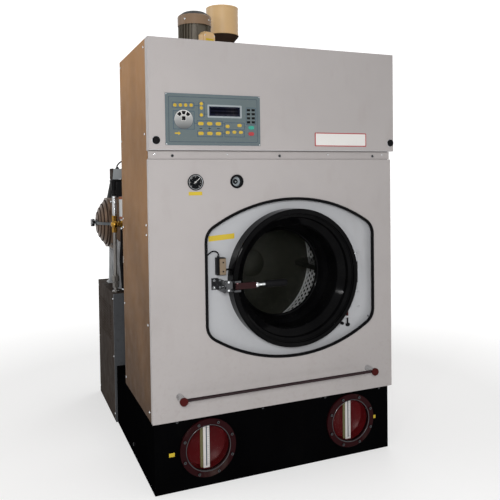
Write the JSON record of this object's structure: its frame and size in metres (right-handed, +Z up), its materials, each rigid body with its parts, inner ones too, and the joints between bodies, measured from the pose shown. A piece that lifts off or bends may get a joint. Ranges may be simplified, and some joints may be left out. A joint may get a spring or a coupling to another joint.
{
  "type": "dry cleaning machine",
  "caption": "Floor-standing dry cleaning machine with a round glazed funnel door, arched front cut-out, lift-up control panel, solvent tank base, roof fan and a rear still.",
  "frame": {"origin": "middle of the footprint on the floor", "axes": "+Z up, the front with the door faces -Y, +X to the right seen from the front"},
  "size_m": [1.223, 1.501, 2.138],
  "materials": {
    "aluminium": "cast",
    "black_gloss": "gloss",
    "black_plastic": "matt",
    "black_rubber": "matt",
    "brass": "machined",
    "casing_brown": "satin",
    "casing_grey": "satin",
    "cast_grey": "cast",
    "chrome": "polished",
    "clear_glass": "clear",
    "cowl_beige": "satin",
    "cream": "satin",
    "door_black": "gloss",
    "door_glass": "clear, tinted",
    "drum_steel": "polished and perforated",
    "fan_grey": "cast and painted",
    "frame_grey": "satin",
    "key_green": "gloss",
    "key_red": "gloss",
    "lcd_dark": "gloss",
    "lever_bronze": "dark bronze",
    "motor_blue": "satin",
    "needle": "matt",
    "panel_blue": "satin membrane",
    "panel_white": "satin",
    "pipe_steel": "drawn",
    "plate_light": "satin",
    "sight_red": "gloss",
    "steel": "turned",
    "still_beige": "satin",
    "strip_steel": "brushed",
    "tub_steel": "rolled"
  },
  "bodies": {
    "machine": {"base_tank": "black_gloss", "rear_casing": "casing_brown", "rear_casing_front": "casing_grey", "cabinet_frame": "frame_grey", "side_panel_left": "panel_white", "side_panel_right": "panel_white", "rear_panel": "panel_white", "roof_panel": "panel_white", "cross_rail": "panel_white", "lower_front_panel": "panel_white", "cutout_edging": "black_rubber", "housing_front_plate": "plate_light", "drum_housing": "tub_steel", "bearing_housing": "cast_grey", "shaft_bearings": "steel", "drive_belt": "black_rubber", "drive_motor": "motor_blue", "hinge_bracket": "strip_steel", "latch_keeper": "strip_steel", "interlock_switch": "black_plastic", "switch_cable": "black_rubber", "handrail": "chrome", "sight_flanges": "sight_red", "sight_glasses": "clear_glass", "gauge_case": "black_plastic", "port_collar": "black_plastic", "fan_motor": "fan_grey", "fan_cowl": "cowl_beige", "fan_terminal_box": "cream", "vent_canister": "cream", "still_vessel": "still_beige", "still_neck": "black_plastic", "sensor_box": "cowl_beige", "sensor_cable": "black_rubber", "drain_pipe": "pipe_steel", "brass_valve": "brass", "sensor_tube": "chrome", "drain_hose": "black_rubber", "front_screws": "chrome"},
    "drum": {"drum": "drum_steel", "drum_front": "drum_steel", "drum_pulley": "cast_grey"},
    "motor_rotor": {"motor_pulley": "cast_grey"},
    "door": {"door_ring": "door_black", "door_bowl": "door_black", "door_glass": "door_glass", "latch_block": "lever_bronze"},
    "latch_lever": {"latch_lever": "lever_bronze"},
    "interlock_plunger": {"interlock_plunger": "black_plastic"},
    "upper_panel": {"upper_front_panel": "panel_white", "control_panel": "panel_blue", "lcd_window": "lcd_dark"},
    "lock_left": {"lock_left": "black_plastic"},
    "lock_right": {"lock_right": "black_plastic"},
    "gauge_needle": {"gauge_needle": "needle"},
    "still_door": {"still_door": "still_beige"},
    "still_door_knob": {"still_door_knob": "cast_grey"},
    "fan_rotor": {"fan_wheel": "aluminium"},
    "start_key": {"start_key": "key_green"},
    "stop_key": {"stop_key": "key_red"}
  },
  "joints": [
    {"name": "drum_spin", "type": "hinge", "parent": "machine", "child": "drum", "pos_m": [0.067, -0.085, 0.858], "axis": [0, 1, 0], "continuous": true},
    {"name": "motor_spin", "type": "hinge", "parent": "machine", "child": "motor_rotor", "pos_m": [0.067, -0.085, 0.415], "axis": [0, 1, 0], "continuous": true},
    {"name": "door_hinge", "type": "hinge", "parent": "machine", "child": "door", "pos_m": [0.382, -0.715, 0.858], "axis": [0, 0, 1], "range_deg": [0, 120]},
    {"name": "latch_lever_turn", "type": "hinge", "parent": "door", "child": "latch_lever", "pos_m": [-0.228, -0.786, 0.851], "axis": [0, 0, -1], "range_deg": [0, 75]},
    {"name": "interlock_plunger_slide", "type": "slide", "parent": "machine", "child": "interlock_plunger", "axis": [-1, 0, 0], "range_m": [0, 0.004], "stiffness_N_per_m": 200},
    {"name": "upper_panel_lift", "type": "hinge", "parent": "machine", "child": "upper_panel", "pos_m": [0, -0.695, 1.859], "axis": [-1, 0, 0], "range_deg": [0, 80]},
    {"name": "lock_left_turn", "type": "hinge", "parent": "upper_panel", "child": "lock_left", "pos_m": [-0.547, -0.72, 1.451], "axis": [0, 1, 0], "range_deg": [0, 90]},
    {"name": "lock_right_turn", "type": "hinge", "parent": "upper_panel", "child": "lock_right", "pos_m": [0.558, -0.72, 1.451], "axis": [0, -1, 0], "range_deg": [0, 90]},
    {"name": "gauge_needle_turn", "type": "hinge", "parent": "machine", "child": "gauge_needle", "pos_m": [-0.381, -0.7229, 1.282], "axis": [0, 1, 0], "range_deg": [-180, 80]},
    {"name": "still_door_swing", "type": "hinge", "parent": "machine", "child": "still_door", "pos_m": [-0.547, 0.601, 1.056], "axis": [0, 0, -1], "range_deg": [0, 100]},
    {"name": "still_knob_turn", "type": "hinge", "parent": "still_door", "child": "still_door_knob", "pos_m": [-0.61, 0.435, 1.056], "axis": [-1, 0, 0], "range_deg": [0, 360]},
    {"name": "fan_spin", "type": "hinge", "parent": "machine", "child": "fan_rotor", "pos_m": [-0.289, -0.445, 1.75], "axis": [0, 0, 1], "continuous": true},
    {"name": "start_press", "type": "slide", "parent": "upper_panel", "child": "start_key", "axis": [0, 1, 0], "range_m": [0, 0.0008], "stiffness_N_per_m": 800},
    {"name": "stop_press", "type": "slide", "parent": "upper_panel", "child": "stop_key", "axis": [0, 1, 0], "range_m": [0, 0.0008], "stiffness_N_per_m": 800}
  ],
  "couplings": [
    {"joint": "motor_spin", "follows": "drum_spin", "ratio": 4.5874}
  ]
}
